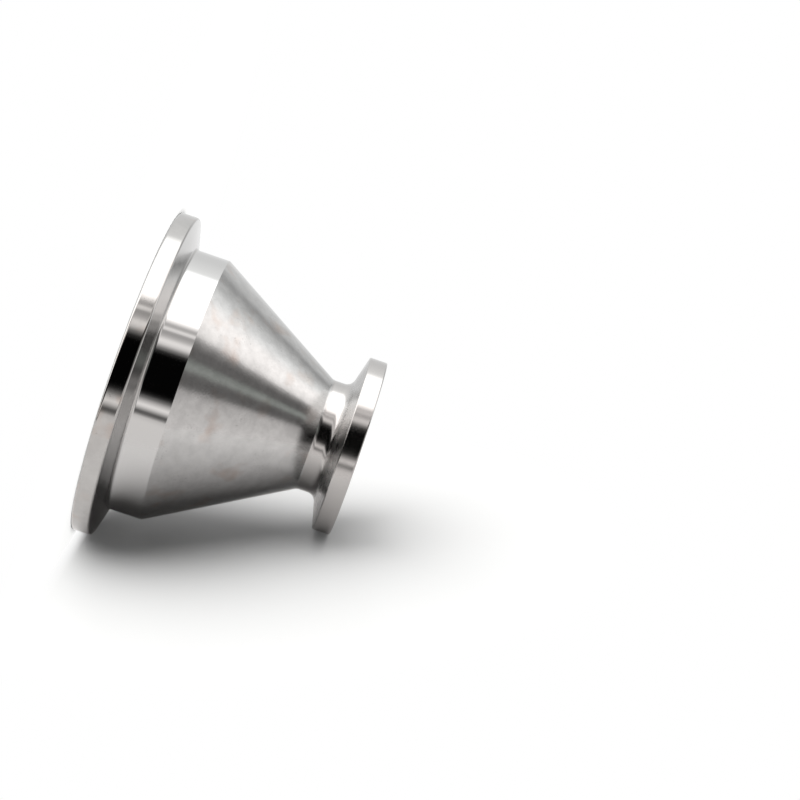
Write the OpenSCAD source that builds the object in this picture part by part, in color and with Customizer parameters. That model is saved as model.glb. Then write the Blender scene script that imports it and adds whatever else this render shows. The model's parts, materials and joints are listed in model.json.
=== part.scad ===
// Conical reducer between two clamp-type vacuum flanges, turned from one piece of stainless steel.
// It stands on its large sealing face, which lies at z = 0 with its centre at the origin.
// The bore runs along +Z, and the small sealing face is on top.

/* [Overall] */
// Distance between the two sealing faces
length = 40; // [38:1:80]

/* [Both flanges] */
// Width of the cylindrical rim, from the sealing face to the start of the clamping taper
rim_width = 3; // [2:0.1:4]
// Slope of the clamping taper behind each rim, in degrees from the plane of the face
taper_angle = 15; // [5:1:20]
// Depth of the recess that takes the centring ring
recess_depth = 3; // [2:0.1:4]
// Ledge that the centring ring stops on: how far the recess is cut wider than the bore, all round
ring_ledge = 0.6; // [0.3:0.1:1.5]
// Width of the chamfer at the mouth of each recess
mouth_chamfer = 0.3; // [0.1:0.1:0.6]

/* [Large end] */
// Diameter of the large flange
large_flange_d = 55; // [50:0.5:62]
// Outside diameter of the tube behind the large flange
tube_d = 45; // [43.5:0.5:50]
// Thickness of the tube's wall, which leaves the nominal bore of 40
tube_wall = 2.5; // [1.5:0.1:4]
// Distance from the large sealing face to the edge where the cone begins
collar_length = 10; // [7:0.5:14]
// Radius of the fillet between the large taper and the tube
tube_fillet = 0.6; // [0.2:0.1:2]
// Radius on the two edges of the large rim
large_edge = 0.4; // [0.1:0.05:0.8]

/* [Small end] */
// Diameter of the small flange
small_flange_d = 30; // [27:0.5:36]
// Outside diameter of the neck below the small flange
neck_d = 19; // [17:0.5:22]
// Thickness of the neck's wall, which leaves the nominal throat of 16
neck_wall = 1.5; // [1:0.1:3]
// Distance from the small sealing face to the end of the cone
neck_length = 7.5; // [6.5:0.25:12]
// Radius of the fillet between the neck and the small taper
neck_fillet = 1.5; // [0.5:0.1:2]
// Radius on the two edges of the small rim
small_edge = 0.25; // [0.1:0.05:0.6]

/* [Cone] */
// Thickness of the conical wall, measured square to it
cone_wall = 2; // [1.5:0.1:3]
// Radius of the hollow blend where the cone runs into the neck
cone_blend = 1.5; // [0.5:0.1:4]

/* [Hidden] */
$fn = 180;

// How far a rounded corner's tip reaches past the corner's sides, as a share of its radius
tip_reach = 0.25;
// How far an arc bites into the sides that it touches, so that it always meets them
arc_bite = 0.0003;

// Radii of the outside and of the bore
large_flange_r = large_flange_d / 2;
tube_r = tube_d / 2;
bore_r = tube_r - tube_wall;
large_recess_r = bore_r + ring_ledge;
small_flange_r = small_flange_d / 2;
neck_r = neck_d / 2;
throat_r = neck_r - neck_wall;
small_recess_r = throat_r + ring_ledge;

// Heights along the outside
taper_slope = tan(taper_angle);
tube_foot_z = rim_width + (large_flange_r - tube_r) * taper_slope;
cone_end_z = length - neck_length;
neck_top_z = length - rim_width - (small_flange_r - neck_r) * taper_slope;

// The inner cone runs parallel to the outer one, one wall thickness inside it
cone_slope = (tube_r - neck_r) / (cone_end_z - collar_length);
inner_cone_r = tube_r - cone_wall / cos(atan(cone_slope));
function inner_cone_z(radius) = collar_length + (inner_cone_r - radius) / cone_slope;

// Corners of the wall's section, each as [[radius, height], rounding], where 0 is a crisp corner.
// They go up the outside from the large face and come back down the bore.
CRISP = 0;
section_corners = [
    [[large_recess_r + mouth_chamfer, 0], CRISP],
    [[large_flange_r, 0], large_edge],
    [[large_flange_r, rim_width], large_edge],
    [[tube_r, tube_foot_z], tube_fillet],
    [[tube_r, collar_length], CRISP],
    [[neck_r, cone_end_z], cone_blend],
    [[neck_r, neck_top_z], neck_fillet],
    [[small_flange_r, length - rim_width], small_edge],
    [[small_flange_r, length], small_edge],
    [[small_recess_r + mouth_chamfer, length], CRISP],
    [[small_recess_r, length - mouth_chamfer], CRISP],
    [[small_recess_r, length - recess_depth], CRISP],
    [[throat_r, length - recess_depth], CRISP],
    [[throat_r, inner_cone_z(throat_r)], CRISP],
    [[bore_r, inner_cone_z(bore_r)], CRISP],
    [[bore_r, recess_depth], CRISP],
    [[large_recess_r, recess_depth], CRISP],
    [[large_recess_r, mouth_chamfer], CRISP]
];
corner_count = len(section_corners);

function corner(i) = section_corners[(i + corner_count) % corner_count][0];
function rounding(i) = section_corners[i][1];
function unit(v) = v / norm(v);
function to_last(i) = unit(corner(i - 1) - corner(i));
function to_next(i) = unit(corner(i + 1) - corner(i));
function half_angle(i) = acos(to_last(i) * to_next(i)) / 2;

// A corner stands out where the outline turns left, and is hollow where it turns right
function stands_out(i) = cross(-to_last(i), to_next(i)) > 0;

// The two points where a corner's arc touches its sides, and the arc's centre
function arc_start(i) = corner(i) + to_last(i) * rounding(i) / tan(half_angle(i));
function arc_end(i) = corner(i) + to_next(i) * rounding(i) / tan(half_angle(i));
function arc_centre(i) = corner(i) + unit(to_last(i) + to_next(i)) * rounding(i) / sin(half_angle(i));

// What lies between a corner and its arc, and a little past the corner's two sides
module arc_tip(i) {
    centre = arc_centre(i);
    difference() {
        polygon([
            centre,
            for (p = [arc_end(i), corner(i), arc_start(i)]) centre + (p - centre) * (1 + tip_reach)
        ]);
        translate(centre) circle(r = rounding(i) + arc_bite);
    }
}

// The wall's section: its hollow corners are filled up to their arcs, and the others cut back to them
module wall_section() {
    rounded = [for (i = [0 : corner_count - 1]) if (rounding(i) > 0) i];
    difference() {
        union() {
            polygon([for (i = [0 : corner_count - 1]) corner(i)]);
            for (i = rounded) if (!stands_out(i)) arc_tip(i);
        }
        for (i = rounded) if (stands_out(i)) arc_tip(i);
    }
}

// The whole adapter: its wall section, turned round the axis
module reducer_body() {
    color("silver") rotate_extrude() wall_section();
}

reducer_body();
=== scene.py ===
# %% [markdown]
# # A vacuum flange adapter, turned from stainless steel
# This lesson dresses a small part of a vacuum system: a conical adapter between a large and a
# small clamp flange. The real one is cut from one bar of stainless steel on a lathe, so every
# surface of it is round about a single axis. Its shape is simple, and what makes it look real is
# the finish: mirror-like rims and a collar with hard reflections, a satin cone, and faint tool
# marks that run round the axis everywhere.
#
# The lesson turns the adapter's wall section into a mesh, gives each zone its own machined
# finish, and then builds the small studio that such a bright metal needs.

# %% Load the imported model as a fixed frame
import json
import math

import bmesh
import bpy
from mathutils import Matrix, Vector


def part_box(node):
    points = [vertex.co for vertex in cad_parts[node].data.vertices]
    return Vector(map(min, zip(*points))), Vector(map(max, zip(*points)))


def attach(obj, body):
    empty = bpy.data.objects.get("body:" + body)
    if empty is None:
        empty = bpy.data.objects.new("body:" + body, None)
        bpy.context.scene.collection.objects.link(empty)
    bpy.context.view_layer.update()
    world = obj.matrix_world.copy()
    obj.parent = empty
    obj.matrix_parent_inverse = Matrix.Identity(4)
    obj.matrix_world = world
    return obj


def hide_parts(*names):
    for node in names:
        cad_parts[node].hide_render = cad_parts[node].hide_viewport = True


MM = 0.001

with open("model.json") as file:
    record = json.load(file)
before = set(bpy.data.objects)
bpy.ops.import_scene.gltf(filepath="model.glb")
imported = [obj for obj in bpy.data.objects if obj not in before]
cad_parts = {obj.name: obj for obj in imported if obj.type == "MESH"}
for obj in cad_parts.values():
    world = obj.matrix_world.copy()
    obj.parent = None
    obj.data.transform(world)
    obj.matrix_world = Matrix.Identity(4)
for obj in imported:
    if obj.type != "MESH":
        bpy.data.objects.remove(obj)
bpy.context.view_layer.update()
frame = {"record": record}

# %% [markdown]
# ## Sizes
# The adapter stands on its large sealing face, with the bore along Z. Its overall sizes come from
# the frame, and the sizes of its flanges from the record's mounts, so that the dressed piece keeps
# to the model. The few that neither of them holds, such as the collar's diameter, are named here in
# millimetres, the unit that a turner would use.

# %% Read the overall sizes and name the others
body_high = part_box("reducer_body")[1]
length = body_high.z
large_flange_r = body_high.x
mount_sizes = {mount["name"]: mount["dims"] for mount in frame["record"]["mounts"]}
small_flange_r = mount_sizes["small_rim"]["r_mm"] * MM
large_recess_r = mount_sizes["large_recess"]["r_mm"] * MM
small_recess_r = mount_sizes["small_recess"]["r_mm"] * MM

rim_width = 3.0 * MM
recess_depth = 3.0 * MM
ring_ledge = 0.6 * MM
mouth_chamfer = 0.3 * MM
taper_slope = math.tan(math.radians(15))

tube_r = 22.5 * MM
collar_length = 10.0 * MM
neck_r = 9.5 * MM
neck_length = 7.5 * MM
cone_wall = 2.0 * MM

bore_r = large_recess_r - ring_ledge
throat_r = small_recess_r - ring_ledge
tube_foot_z = rim_width + (large_flange_r - tube_r) * taper_slope
cone_end_z = length - neck_length
neck_top_z = length - rim_width - (small_flange_r - neck_r) * taper_slope
cone_slope = (tube_r - neck_r) / (cone_end_z - collar_length)
inner_cone_r = tube_r - cone_wall / math.cos(math.atan(cone_slope))
print("Radii in mm:", [round(r / MM, 2) for r in (large_flange_r, tube_r, neck_r, small_flange_r)])


def inner_cone_z(radius):
    """Height at which the inner cone, parallel to the outer one, has this radius."""
    return collar_length + (inner_cone_r - radius) / cone_slope


# %% [markdown]
# ## The wall section
# A lathe part could be started from cylinders and cones, but they would have to be joined, and the
# fillets between them would be hard to make. Its section is simpler: one flat face with a corner
# wherever the turner's tool changes direction. Each corner is then rounded with a vertex bevel,
# which cuts it back along both of its sides and puts an arc between. The cut is the arc's radius
# divided by the tangent of half the corner's angle.
#
# No machined edge is perfectly sharp. The corners that look crisp get a tiny rounding too, and it
# is these that catch a thin line of light.

# %% Draw the section as one face
crisp = 0.06 * MM
large_edge = 0.4 * MM
small_edge = 0.25 * MM

section_corners = [
    ((large_recess_r + mouth_chamfer, 0), crisp),
    ((large_flange_r, 0), large_edge),
    ((large_flange_r, rim_width), large_edge),
    ((tube_r, tube_foot_z), 0.6 * MM),
    ((tube_r, collar_length), crisp),
    ((neck_r, cone_end_z), 1.5 * MM),
    ((neck_r, neck_top_z), 1.5 * MM),
    ((small_flange_r, length - rim_width), small_edge),
    ((small_flange_r, length), small_edge),
    ((small_recess_r + mouth_chamfer, length), crisp),
    ((small_recess_r, length - mouth_chamfer), crisp),
    ((small_recess_r, length - recess_depth), crisp),
    ((throat_r, length - recess_depth), crisp),
    ((throat_r, inner_cone_z(throat_r)), crisp),
    ((bore_r, inner_cone_z(bore_r)), crisp),
    ((bore_r, recess_depth), crisp),
    ((large_recess_r, recess_depth), crisp),
    ((large_recess_r, mouth_chamfer), crisp),
]

section = bmesh.new()
for (radius, height), rounding in section_corners:
    section.verts.new((radius, 0, height))
section.faces.new(section.verts)
section.verts.ensure_lookup_table()
print("Section corners:", len(section.verts))

# %% Round every corner
def corner_cut(vert, rounding):
    """Distance from a corner to the ends of its arc."""
    sides = [edge.other_vert(vert).co - vert.co for edge in vert.link_edges]
    return rounding / math.tan(sides[0].angle(sides[1]) / 2)


arc_segments = {crisp: 2, small_edge: 6, large_edge: 8}
cuts = [
    (vert, corner_cut(vert, rounding), arc_segments.get(rounding, 12))
    for vert, (place, rounding) in zip(list(section.verts), section_corners)
]
for vert, cut, segments in cuts:
    bmesh.ops.bevel(
        section, geom=[vert], offset=cut, offset_type="OFFSET", segments=segments,
        profile=0.5, affect="VERTICES", clamp_overlap=True, material=-1,
    )
print("Section points:", len(section.verts))

# %% [markdown]
# ## Turning it
# Spinning the section's outline once round the axis gives the closed wall. Only its edges are
# spun: a face would leave a disc inside the metal. After a full turn the last ring meets the
# first, so use_merge joins them, and doubles are merged before the normals are worked out.
#
# Flat zones and small arcs lie side by side. Smooth shading alone would bend the reflections on a
# rim towards its edges, so a Weighted Normal modifier lets the large faces decide.

# %% Spin the outline
turn_steps = 360
bmesh.ops.delete(section, geom=section.faces[:], context="FACES_ONLY")
bmesh.ops.spin(
    section, geom=section.verts[:] + section.edges[:], cent=(0, 0, 0), axis=(0, 0, 1),
    dvec=(0, 0, 0), angle=2 * math.pi, steps=turn_steps, use_merge=True, use_duplicate=False,
)
bmesh.ops.remove_doubles(section, verts=section.verts[:], dist=0.0005 * MM)
bmesh.ops.recalc_face_normals(section, faces=section.faces[:])
print("Turned faces:", len(section.faces), "open edges:",
      sum(not edge.is_manifold for edge in section.edges))

# %% [markdown]
# ## Zones
# A turner gives each zone its own finish, because each does another job. The collar is polished,
# the large rim is ground, and the neck and the small rim are buffed. Of the tapers that a clamp
# rubs on, the large one is fine-turned and the small one a little coarser. The cone has a satin
# finish, the sealing faces show the rings of a facing tool, and the bore is plain turned. Each
# face of the mesh belongs to the zone in which its middle lies.

# %% Sort the faces into zones
ZONES = [
    "collar", "large_rim", "small_end", "cone",
    "large_taper", "small_taper", "sealing_face", "bore",
]
a_hair = 0.01 * MM
facing_an_end = math.cos(math.radians(11))


def zone_of(face):
    """Name of the machined zone that a face belongs to."""
    middle = face.calc_center_median()
    radius, height = Vector((middle.x, middle.y)).length, middle.z
    if abs(face.normal.z) > facing_an_end and not a_hair < height < length - a_hair:
        return "sealing_face"
    looks_inward = face.normal.x * middle.x + face.normal.y * middle.y < 0
    on_large_ledge = abs(height - recess_depth) < a_hair and radius < large_recess_r + crisp
    if looks_inward or on_large_ledge or radius < small_recess_r + mouth_chamfer:
        return "bore"
    if collar_length < height < cone_end_z:
        return "cone"
    if rim_width < height < tube_foot_z:
        return "large_taper"
    if neck_top_z < height < length - rim_width:
        return "small_taper"
    if height < collar_length:
        return "large_rim" if radius > tube_r + crisp else "collar"
    return "small_end"


for face in section.faces:
    face.smooth = True
    face.material_index = ZONES.index(zone_of(face))

adapter_mesh = bpy.data.meshes.new("turned_adapter")
section.to_mesh(adapter_mesh)
section.free()
adapter_mesh.set_sharp_from_angle(angle=math.radians(40))
adapter = bpy.data.objects.new("turned_adapter", adapter_mesh)
bpy.context.scene.collection.objects.link(adapter)

weighting = adapter.modifiers.new("Weighted normals", "WEIGHTED_NORMAL")
weighting.mode = "FACE_AREA"
weighting.weight = 100
weighting.keep_sharp = True

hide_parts("reducer_body")
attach(adapter, "root")
for name in ZONES:
    print(name, sum(ZONES[p.material_index] == name for p in adapter_mesh.polygons), "faces")

# %% [markdown]
# ## Colours and nodes
# Colours are written as sRGB hex values, as a colour picker shows them, and one function turns
# them linear. One more function adds a node, with its settings and its links, to any node tree.
# The sums and mixtures that come back often have short functions of their own.

# %% Helpers for colours and nodes
def linear(hex_colour):
    """A colour written as sRGB hex, as linear red, green, blue and alpha."""
    parts = [int(hex_colour[i:i + 2], 16) / 255 for i in (0, 2, 4)]
    return [c / 12.92 if c <= 0.04045 else ((c + 0.055) / 1.055) ** 2.4 for c in parts] + [1]


def add(tree, kind, settings=None, **inputs):
    """A new node. Settings are its own fields; each input is a value or another node's output."""
    made = tree.nodes.new(kind)
    for field, value in (settings or {}).items():
        setattr(made, field, value)
    for name, value in inputs.items():
        key = int(name[1:]) if name[1:].isdigit() else name.replace("_", " ")
        socket = made.inputs[key]
        if isinstance(value, bpy.types.NodeSocket):
            tree.links.new(value, socket)
        else:
            socket.default_value = value
    return made


def new_material(name):
    """An empty node material."""
    material = bpy.data.materials.new(name)
    material.use_nodes = True
    material.node_tree.nodes.clear()
    return material, material.node_tree


# %% Helpers for values
def calculate(tree, operation, one, other):
    """A number worked out from two."""
    return add(tree, "ShaderNodeMath", {"operation": operation}, i0=one, i1=other).outputs[0]


def between(tree, value, low, high, to_low, to_high, curve="LINEAR"):
    """A value brought from one range into another. The curve SMOOTHSTEP gives it soft ends."""
    return add(
        tree, "ShaderNodeMapRange", {"interpolation_type": curve}, Value=value,
        From_Min=low, From_Max=high, To_Min=to_low, To_Max=to_high,
    ).outputs[0]


def along_axis(tree, vector, axis):
    """How far a vector reaches along an axis."""
    return add(
        tree, "ShaderNodeVectorMath", {"operation": "DOT_PRODUCT"}, i0=vector, i1=tuple(axis),
    ).outputs["Value"]


def mixed_colour(tree, share, one, other):
    """Two colours mixed, with this share of the second."""
    return add(
        tree, "ShaderNodeMix", {"data_type": "RGBA"}, i0=share, i6=one, i7=other,
    ).outputs[2]


def mixed_look(tree, share, one, other):
    """Two shaders mixed, with this share of the second."""
    return add(tree, "ShaderNodeMixShader", i0=share, i1=one, i2=other).outputs[0]


# %% [markdown]
# ## Turned stainless steel
# Stainless steel is a slightly warm grey metal: metallic 1, with a base colour of 50 to 60%
# reflectance. A lathe tool leaves fine grooves round the axis, which spread a reflection along the
# profile and leave it sharp round it. Anisotropy does that, with its tangent taken round Z and
# turned by a quarter.
#
# The grooves themselves are a noise that hardly changes round the axis and changes fast along the
# profile. Height less radius works as the distance along the profile: it grows on the rims, the
# cone and the faces alike. Real tool marks are about 0.05 to 0.1 mm apart, too fine for this
# picture, so they are drawn a few times coarser.
#
# The cone has been handled and cleaned. It has soft clouds, clusters of tiny pits, a faint brown
# stain and the slanted strokes of a cleaning pad. Pits and strokes are finer than 0.1 mm on a real
# adapter, so they too are drawn coarser, at 0.25 and 0.3 mm.

# %% The coordinates that follow the lathe
def lathe_coordinates(tree, pitch, drift=0.3):
    """A vector whose Z counts tool marks along the profile, while X and Y change slowly round it."""
    place = add(tree, "ShaderNodeTexCoord").outputs["Object"]
    axes = add(tree, "ShaderNodeSeparateXYZ", Vector=place).outputs
    across = add(tree, "ShaderNodeCombineXYZ", X=axes["X"], Y=axes["Y"]).outputs[0]
    radius = add(tree, "ShaderNodeVectorMath", {"operation": "LENGTH"}, i0=across).outputs["Value"]
    around = add(tree, "ShaderNodeVectorMath", {"operation": "NORMALIZE"}, i0=across).outputs[0]
    along = calculate(tree, "SUBTRACT", axes["Z"], radius)
    marks = calculate(tree, "DIVIDE", along, pitch)
    rise = add(tree, "ShaderNodeCombineXYZ", Z=marks).outputs[0]
    return add(
        tree, "ShaderNodeVectorMath", {"operation": "MULTIPLY_ADD"},
        i0=around, i1=(drift, drift, drift), i2=rise,
    ).outputs[0]


# %% The marks of wear
def noise(tree, size, place, detail=2.0, stretch=(1, 1, 1), slant=0.0):
    """Noise with features of this size, which can be stretched and turned about Y."""
    moved = add(
        tree, "ShaderNodeMapping", {"vector_type": "TEXTURE"}, Vector=place,
        Rotation=(0, math.radians(slant), 0), Scale=[size * share for share in stretch],
    ).outputs[0]
    return add(
        tree, "ShaderNodeTexNoise", Vector=moved, Scale=1.0, Detail=detail, Roughness=0.6,
    ).outputs["Fac"]


def worn(tree, place, colour, wear):
    """A colour with the clouds of worn steel, clusters of tiny pits and a faint brown stain."""
    drifts = noise(tree, 1.8 * MM, place, detail=6.0)
    clouds = between(tree, drifts, 0.35, 0.65, 1 - wear, 1 + wear)
    pits = between(tree, noise(tree, 0.25 * MM, place, detail=0.0), 0.66, 0.74, 0.0, 0.2)
    clusters = between(tree, noise(tree, 3.0 * MM, place), 0.56, 0.66, 0.0, 1.0)
    left = calculate(tree, "SUBTRACT", 1.0, calculate(tree, "MULTIPLY", pits, clusters))
    stain = between(tree, noise(tree, 5.0 * MM, place), 0.56, 0.75, 0.0, 0.45)
    tint = mixed_colour(tree, stain, linear(colour), linear("B39E90"))
    return add(
        tree, "ShaderNodeVectorMath", {"operation": "SCALE"},
        i0=tint, Scale=calculate(tree, "MULTIPLY", clouds, left),
    ).outputs[0]


# %% One function for every turned finish
def turned_steel(
    name, colour, roughness, spread, pitch, depth, blotch=0.02, wear=0.0, strokes=0.0,
):
    """Stainless steel with tool marks. Spread is the anisotropy, and blotch how far the roughness
    varies. Pitch, depth and the strokes' height are metres."""
    material, tree = new_material(name)
    place = add(tree, "ShaderNodeTexCoord").outputs["Object"]
    marks = noise(tree, 1.0, lathe_coordinates(tree, pitch), detail=3.0)
    height = calculate(tree, "MULTIPLY", depth, marks)
    if strokes:
        for slant in (25, -50):
            drawn = noise(tree, 0.3 * MM, place, detail=1.0, stretch=(1, 1, 8), slant=slant)
            sum_of = {"operation": "MULTIPLY_ADD"}
            height = add(tree, "ShaderNodeMath", sum_of, i0=drawn, i1=strokes, i2=height).outputs[0]
    tint = linear(colour)
    if wear:
        tint = worn(tree, place, colour, wear)
    patches = noise(tree, 1.5 * MM, place, detail=3.0)
    gloss = between(tree, patches, 0.3, 0.7, roughness - blotch, roughness + blotch)
    bump = add(tree, "ShaderNodeBump", Strength=1.0, Distance=1.0, Height=height).outputs[0]
    tangent = add(tree, "ShaderNodeTangent", {"direction_type": "RADIAL", "axis": "Z"}).outputs[0]
    shader = add(
        tree, "ShaderNodeBsdfPrincipled", Base_Color=tint, Metallic=1.0, Roughness=gloss,
        Anisotropic=spread, Anisotropic_Rotation=0.25, Normal=bump, Tangent=tangent,
    ).outputs[0]
    add(tree, "ShaderNodeOutputMaterial", Surface=shader)
    return material


# %% The machined finishes
FINISHES = {
    "collar": turned_steel(
        "polished_stainless_steel", "C7C7C6", roughness=0.06, spread=0.5,
        pitch=0.3 * MM, depth=0.0004 * MM, blotch=0.01,
    ),
    "large_rim": turned_steel(
        "ground_stainless_steel", "B9B8B6", roughness=0.06, spread=0.5,
        pitch=0.3 * MM, depth=0.0004 * MM, blotch=0.015, wear=0.04,
    ),
    "small_end": turned_steel(
        "buffed_stainless_steel", "BDBBB9", roughness=0.16, spread=0.5,
        pitch=0.3 * MM, depth=0.0004 * MM, blotch=0.02,
    ),
    "cone": turned_steel(
        "satin_stainless_steel", "C6C6C5", roughness=0.11, spread=0.95,
        pitch=0.25 * MM, depth=0.0012 * MM, blotch=0.012, wear=0.08, strokes=0.002 * MM,
    ),
    "large_taper": turned_steel(
        "fine_turned_stainless_steel", "BAB9B8", roughness=0.17, spread=0.7,
        pitch=0.25 * MM, depth=0.002 * MM, blotch=0.03,
    ),
    "small_taper": turned_steel(
        "coarse_turned_stainless_steel", "BAB9B8", roughness=0.28, spread=0.9,
        pitch=0.25 * MM, depth=0.003 * MM, blotch=0.04,
    ),
    "sealing_face": turned_steel(
        "faced_stainless_steel", "C6C5C4", roughness=0.2, spread=0.8,
        pitch=0.3 * MM, depth=0.002 * MM,
    ),
    "bore": turned_steel(
        "bored_stainless_steel", "BFBEBC", roughness=0.28, spread=0.7,
        pitch=0.3 * MM, depth=0.003 * MM, blotch=0.03,
    ),
}
for zone in ZONES:
    adapter_mesh.materials.append(FINISHES[zone])
print("Finishes:", [m.name for m in adapter_mesh.materials])

# %% [markdown]
# ## Where the camera stands
# The picture to match shows the adapter lying on a table on both of its rims. Here it stands on its
# large face instead, and the camera is laid over with it: it looks along +Y, and its upright
# points to where the picture's upright is, seen from the adapter.

# %% Place the camera
camera_distance = 310.8 * MM
camera_height = 28.9 * MM
aim = Vector((-9.92, 0, 43.95)) * MM
axis_slope = math.radians(18.9)

camera_data = bpy.data.cameras.new("camera")
camera_data.lens = 84.27
camera_data.sensor_width = 36
camera = bpy.data.objects.new("camera", camera_data)
bpy.context.scene.collection.objects.link(camera)
bpy.context.scene.camera = camera

camera_place = Vector((0, -camera_distance, camera_height))
forward = (aim - camera_place).normalized()
axis_seen = (Vector((0, 0, 1)) - forward * forward.z).normalized()
across_axis = forward.cross(axis_seen)
right = axis_seen * math.cos(axis_slope) - across_axis * math.sin(axis_slope)
up = right.cross(forward)
facing = Matrix((right, up, -forward)).transposed().to_4x4()
camera.matrix_world = Matrix.Translation(camera_place) @ facing
print("The picture's right is", [round(x, 3) for x in right])
print("The picture's up is", [round(x, 3) for x in up])

# %% [markdown]
# ## The table in the picture
# The picture's table touches both rims along the adapter's lower side. Its plane holds the line
# that joins the two contact points, and it faces the axis. As the camera sees it, the contacts lie
# 16 degrees past the adapter's lowest side, because the camera looks down on the table.
#
# The table's plane gives the studio its three directions: up, front (towards the camera) and right.

# %% Find the table's plane and the studio's directions
contact_angle = math.radians(106)
contact = Vector((math.sin(contact_angle), -math.cos(contact_angle), 0))
touch = contact * large_flange_r + Vector((0, 0, rim_width))
small_touch = contact * small_flange_r + Vector((0, 0, length))
table_right = (small_touch - touch).normalized()
table_front = contact.cross(Vector((0, 0, 1)))
table_up = table_front.cross(table_right)

studio_front = Vector((0, -1, 0))
studio_right = table_up.cross(studio_front).normalized()
studio_up = studio_front.cross(studio_right)
camera_rise = math.degrees(math.asin((camera_place - touch).normalized().dot(table_up)))
print("The table's upright is", [round(x, 3) for x in table_up])
print("The studio's up is", [round(x, 3) for x in studio_up])
print("The camera looks down on the table by", round(camera_rise, 1), "degrees")

# %% [markdown]
# ## The studio
# Polished steel shows hardly any colour of its own. It shows the room: a wide white ceiling light,
# a dark room behind the camera, a white table, and white behind the adapter. In the picture each
# edge of that room is a line on the collar, so the room is drawn as bands round the picture's
# horizontal: 0 degrees is towards the camera, 90 is up, 180 is behind the adapter and -90 down.
#
# The room differs a little in front and to the right. The rims and the collar look forward, and
# the cone looks to the right, so there are two sets of bands. A mirror faces halfway between the
# light it shows and the front. How far that halfway direction leans along the axis says which set
# is seen, and the two mix smoothly on the fillets between.
#
# The world shows itself in three ways. The camera sees plain white, and so does anything seen
# through glass. Reflections show the bands, which are white behind the adapter too. What is left
# is a soft fill for paper, which the lamps light. It is dark in front and weak near the table, as
# the room is. Light that the steel throws back onto paper is left out, because it is faint and
# takes long to settle.

# %% Bands of light round the horizontal
FRONT_BANDS = [
    (-180, 1.03), (-172, 0.88), (-33, 1.00), (-29.5, 0.84), (-27.3, 0.20), (-25, 0.14), (-22.5, 0.75),
    (-20, 1.30), (-17, 0.80), (-14, 0.25), (-11, 0.02), (-8, 0.002), (21, 0.002), (24, 0.04),
    (27, 0.35), (30, 1.10), (33, 1.35), (36, 0.80), (39, 0.55), (41, 0.60), (43, 1.45), (45, 0.80),
    (47, 0.60), (49, 1.20), (53, 2.4), (106, 2.4), (112, 1.30), (120, 1.15), (137, 0.95), (150, 0.86),
    (170, 0.85), (176, 1.03),
]
RIGHT_BANDS = [
    (-180, 1.03), (-172, 0.87), (-60, 0.94), (-44, 0.80), (-34, 0.72), (-29.5, 0.65), (-27.5, 0.54),
    (-25.5, 0.26), (-24, 0.14), (-12, 0.16), (-9.5, 0.21), (-6.5, 0.38), (-3, 0.44), (3, 0.32),
    (8, 0.18), (20, 0.18), (28, 0.29), (34, 0.46), (38, 0.68), (42, 1.04), (46, 1.25), (52, 1.42),
    (76, 1.66), (88, 1.62), (107, 1.30), (120, 0.90), (132, 0.57), (138, 0.44), (142, 0.62),
    (147, 0.74), (168, 0.83), (176, 1.03),
]
WHITE = (1.0, 1.0, 1.0)
WARM_WHITE = (1.0, 0.963, 0.949)
GREEN_GLOOM = (0.96, 1.0, 0.95)
print("Bands in front:", len(FRONT_BANDS), "to the right:", len(RIGHT_BANDS))

# %% A colour ramp for the bands
def tint_at(degrees):
    """White behind the adapter, greenish where the room is seen level, and warm light elsewhere."""
    if abs(degrees) > 105:
        return WHITE
    return GREEN_GLOOM if abs(degrees) < 8 else WARM_WHITE


def bands(tree, angle, stops):
    """A colour ramp of light over an angle in degrees, from -180 to 180."""
    ramp = tree.nodes.new("ShaderNodeValToRGB")
    tree.links.new(angle, ramp.inputs["Fac"])
    marks = ramp.color_ramp.elements
    while len(marks) > 1:
        marks.remove(marks[-1])
    for number, (degrees, level) in enumerate(stops):
        position = (degrees + 180) / 360
        mark = marks[0] if number == 0 else marks.new(position)
        mark.position = position
        mark.color = [level * part for part in tint_at(degrees)] + [1]
    return ramp.outputs["Color"]


# %% The room that the steel reflects
world = bpy.data.worlds.new("studio")
bpy.context.scene.world = world
world.use_nodes = True
studio = world.node_tree
studio.nodes.clear()

looking = add(studio, "ShaderNodeTexCoord").outputs["Generated"]
upward = along_axis(studio, looking, studio_up)
frontward = along_axis(studio, looking, studio_front)
turn = calculate(studio, "ARCTAN2", upward, frontward)
angle = between(studio, turn, -math.pi, math.pi, 0.0, 1.0)
to_both = add(studio, "ShaderNodeVectorMath", i0=looking, i1=tuple(studio_front)).outputs[0]
halfway = add(
    studio, "ShaderNodeVectorMath", {"operation": "NORMALIZE"}, i0=to_both,
).outputs[0]
lean = along_axis(studio, halfway, (0, 0, 1))
to_right = between(studio, lean, 0.06, 0.46, 0.0, 1.0, "SMOOTHSTEP")
front_room = bands(studio, angle, FRONT_BANDS)
right_room = bands(studio, angle, RIGHT_BANDS)
room = mixed_colour(studio, to_right, front_room, right_room)

# %% What the camera, the steel and the paper see
BLACK_LIGHT = (0, 0, 0, 1)
WHITE_LIGHT = (1, 1, 1, 1)
fill_light = 0.65
not_in_front = between(studio, frontward, 0.4, 0.9, fill_light, 0.0, "SMOOTHSTEP")
not_low = between(studio, upward, 0.0, 0.5, 0.2, 1.0)
fill = calculate(studio, "MULTIPLY", not_in_front, not_low)

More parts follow.
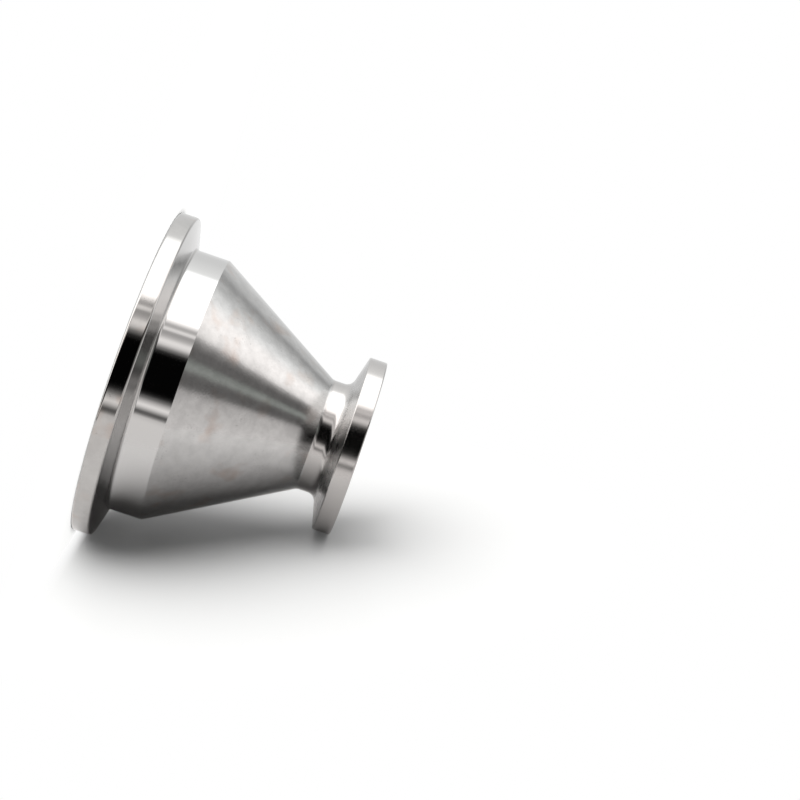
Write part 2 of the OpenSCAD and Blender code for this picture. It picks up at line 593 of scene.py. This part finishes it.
rays = add(studio, "ShaderNodeLightPath").outputs
at_first = calculate(studio, "LESS_THAN", rays["Diffuse Depth"], 0.5)
room_once = mixed_colour(studio, at_first, BLACK_LIGHT, room)
reflected = mixed_colour(studio, rays["Is Glossy Ray"], fill, room_once)
seen_straight = calculate(studio, "MAXIMUM", rays["Is Camera Ray"], rays["Is Transmission Ray"])
backdrop = mixed_colour(studio, seen_straight, reflected, WHITE_LIGHT)
add(
    studio, "ShaderNodeOutputWorld",
    Surface=add(studio, "ShaderNodeBackground", Color=backdrop, Strength=1.0).outputs[0],
)
print("Fill light for paper:", fill_light)

# %% [markdown]
# ## Two soft lamps
# The lamps light the paper, and the steel doesn't reflect them, because its bands already hold
# their light. One stands above the picture's table, a little to the front and left, and gives the
# adapter its broad soft shadow. The other lights the floor that the adapter stands on, which faces
# another way. Both are far away, as sun lamps are, so that the paper is evenly bright, and each
# looks as wide as a softbox would. White paper comes out white in their light, and no brighter.

# %% Set up the lamps
def soft_lamp(name, towards, width, paper_light):
    """A wide lamp far away in one direction, under which white paper has this brightness."""
    light = bpy.data.lights.new(name, "SUN")
    light.energy = paper_light * math.pi
    light.angle = math.radians(width)
    lamp = bpy.data.objects.new(name, light)
    bpy.context.scene.collection.objects.link(lamp)
    lamp.rotation_euler = towards.to_track_quat("Z", "Y").to_euler()
    lamp.visible_camera = False
    lamp.visible_glossy = False
    lamp.visible_transmission = False
    return lamp


table_lamp_side = studio_up + studio_front * 0.17 - studio_right * 0.25
table_lamp = soft_lamp("table_lamp", table_lamp_side, width=90, paper_light=0.68)
floor_lamp = soft_lamp("floor_lamp", Vector((0, -0.45, 0.9)), width=45, paper_light=1.02)
for lamp in (table_lamp, floor_lamp):
    width = round(math.degrees(lamp.data.angle))
    print(lamp.name, round(lamp.data.energy, 2), "W/m2,", width, "degrees wide")

# %% [markdown]
# ## Floor and table
# The adapter stands on a plain pale floor, and the picture's table is a second plane. Both are
# white where the light reaches them, and both keep the adapter's shadow. Seen so flat, a smooth
# table top also shows a faint, blurred reflection of what stands on it.
#
# Both turn plain white away from the adapter, and both are clear from behind so that they don't
# hide it in other views. The table also turns white where it dips below the floor, so that no
# line shows there.
#
# The table is drawn twice. The camera sees one, and the steel reflects another, which fades out
# past the shadow, where the bands go on.

# %% A plane and its distances
def plane(name, low, high, material):
    """A sheet in the XY plane between two corners."""
    middle = ((low[0] + high[0]) / 2, (low[1] + high[1]) / 2, 0)
    sheet = bmesh.new()
    bmesh.ops.create_grid(sheet, x_segments=1, y_segments=1, size=0.5)
    bmesh.ops.scale(sheet, vec=(high[0] - low[0], high[1] - low[1], 1), verts=sheet.verts)
    bmesh.ops.translate(sheet, vec=middle, verts=sheet.verts)
    mesh = bpy.data.meshes.new(name)
    sheet.to_mesh(mesh)
    sheet.free()
    mesh.materials.append(material)
    made = bpy.data.objects.new(name, mesh)
    bpy.context.scene.collection.objects.link(made)
    made.visible_diffuse = False
    made.visible_shadow = False
    return made


def far_from(tree, middle, near, far):
    """0 near a point of the sheet, rising to 1 far from it."""
    place = add(tree, "ShaderNodeTexCoord").outputs["Object"]
    distance = add(
        tree, "ShaderNodeVectorMath", {"operation": "DISTANCE"}, i0=place, i1=middle,
    ).outputs["Value"]
    return between(tree, distance, near, far, 0.0, 1.0, "SMOOTHSTEP")


under_adapter = (length / 2, 0, 0)


def floor_edge(tree):
    """The floor keeps its shadow round the adapter's foot."""
    return far_from(tree, (0, 0, 0), near=40 * MM, far=75 * MM)


def table_edge(tree):
    """The table keeps its shadow round the adapter, but not where it dips below the floor."""
    away = far_from(tree, under_adapter, near=45 * MM, far=70 * MM)
    place = add(tree, "ShaderNodeTexCoord").outputs["Object"]
    along = add(tree, "ShaderNodeSeparateXYZ", Vector=place).outputs["X"]
    dips = between(tree, along, -3.3 * MM, -0.8 * MM, 1.0, 0.0)
    return calculate(tree, "MAXIMUM", away, dips)


# %% White paper
def white_paper(name, own_white, edge, sheen=0.0):
    """Paper that shades as real paper does. For the camera it has a little white of its own, and a
    plain white edge."""
    material, tree = new_material(name)
    look = add(tree, "ShaderNodeBsdfDiffuse", Color=linear("F2F2F1")).outputs[0]
    if sheen:
        edge_on = add(tree, "ShaderNodeFresnel", IOR=1.5).outputs[0]
        share = between(tree, edge_on, 0.04, 0.4, 0.0, sheen)
        smooth = add(tree, "ShaderNodeBsdfGlossy", Color=WHITE_LIGHT, Roughness=0.32).outputs[0]
        look = mixed_look(tree, share, look, smooth)
    seen = add(tree, "ShaderNodeLightPath").outputs["Is Camera Ray"]
    strength = calculate(tree, "MULTIPLY", seen, own_white)
    white = add(tree, "ShaderNodeEmission", Color=WHITE_LIGHT, Strength=strength).outputs[0]
    look = add(tree, "ShaderNodeAddShader", i0=look, i1=white).outputs[0]
    plain_white = add(tree, "ShaderNodeEmission", Color=WHITE_LIGHT, Strength=seen).outputs[0]
    look = mixed_look(tree, edge(tree), look, plain_white)
    behind = add(tree, "ShaderNodeNewGeometry").outputs["Backfacing"]
    clear = add(tree, "ShaderNodeBsdfTransparent").outputs[0]
    look = mixed_look(tree, behind, look, clear)
    add(tree, "ShaderNodeOutputMaterial", Surface=look)
    material.cycles.emission_sampling = "NONE"
    return material


def reflected_paper(name, colour):
    """Paper that is clear at its edge, and clear to light scattered by other surfaces."""
    material, tree = new_material(name)
    look = add(tree, "ShaderNodeBsdfDiffuse", Color=linear(colour)).outputs[0]
    scattered = add(tree, "ShaderNodeLightPath").outputs["Diffuse Depth"]
    later = calculate(tree, "GREATER_THAN", scattered, 0.5)
    away = far_from(tree, under_adapter, near=35 * MM, far=60 * MM)
    clear = add(tree, "ShaderNodeBsdfTransparent").outputs[0]
    look = mixed_look(tree, calculate(tree, "MAXIMUM", later, away), look, clear)
    add(tree, "ShaderNodeOutputMaterial", Surface=look)
    return material


# %% Lay the floor and the table
floor_paper = white_paper("floor_paper", own_white=0.08, edge=floor_edge)
floor = plane("floor", (-3, -3), (3, 3), floor_paper)
floor.visible_glossy = False

table_axes = (table_right, table_up.cross(table_right), table_up)
on_the_table = Matrix.Translation(touch) @ Matrix(table_axes).transposed().to_4x4()
table_top = white_paper("smooth_table_top", own_white=0.05, edge=table_edge, sheen=0.12)
table = plane("table", (-0.6, -0.6), (0.6, 0.6), table_top)
table.matrix_world = on_the_table
table.visible_glossy = False

just_below = Matrix.Translation((0, 0, -0.05 * MM))
card_paper = reflected_paper("table_paper", "F4F1F0")
card = plane("table_seen_by_the_steel", (-0.1, -0.1), (0.1, 0.1), card_paper)
card.matrix_world = on_the_table @ just_below
card.visible_camera = False
print("Stage:", [sheet.name for sheet in (floor, table, card)])

# %% [markdown]
# ## Finish
# The Standard view transform shows colours as they are written.

# %% Finish
view = bpy.context.scene.view_settings
view.view_transform = "Standard"
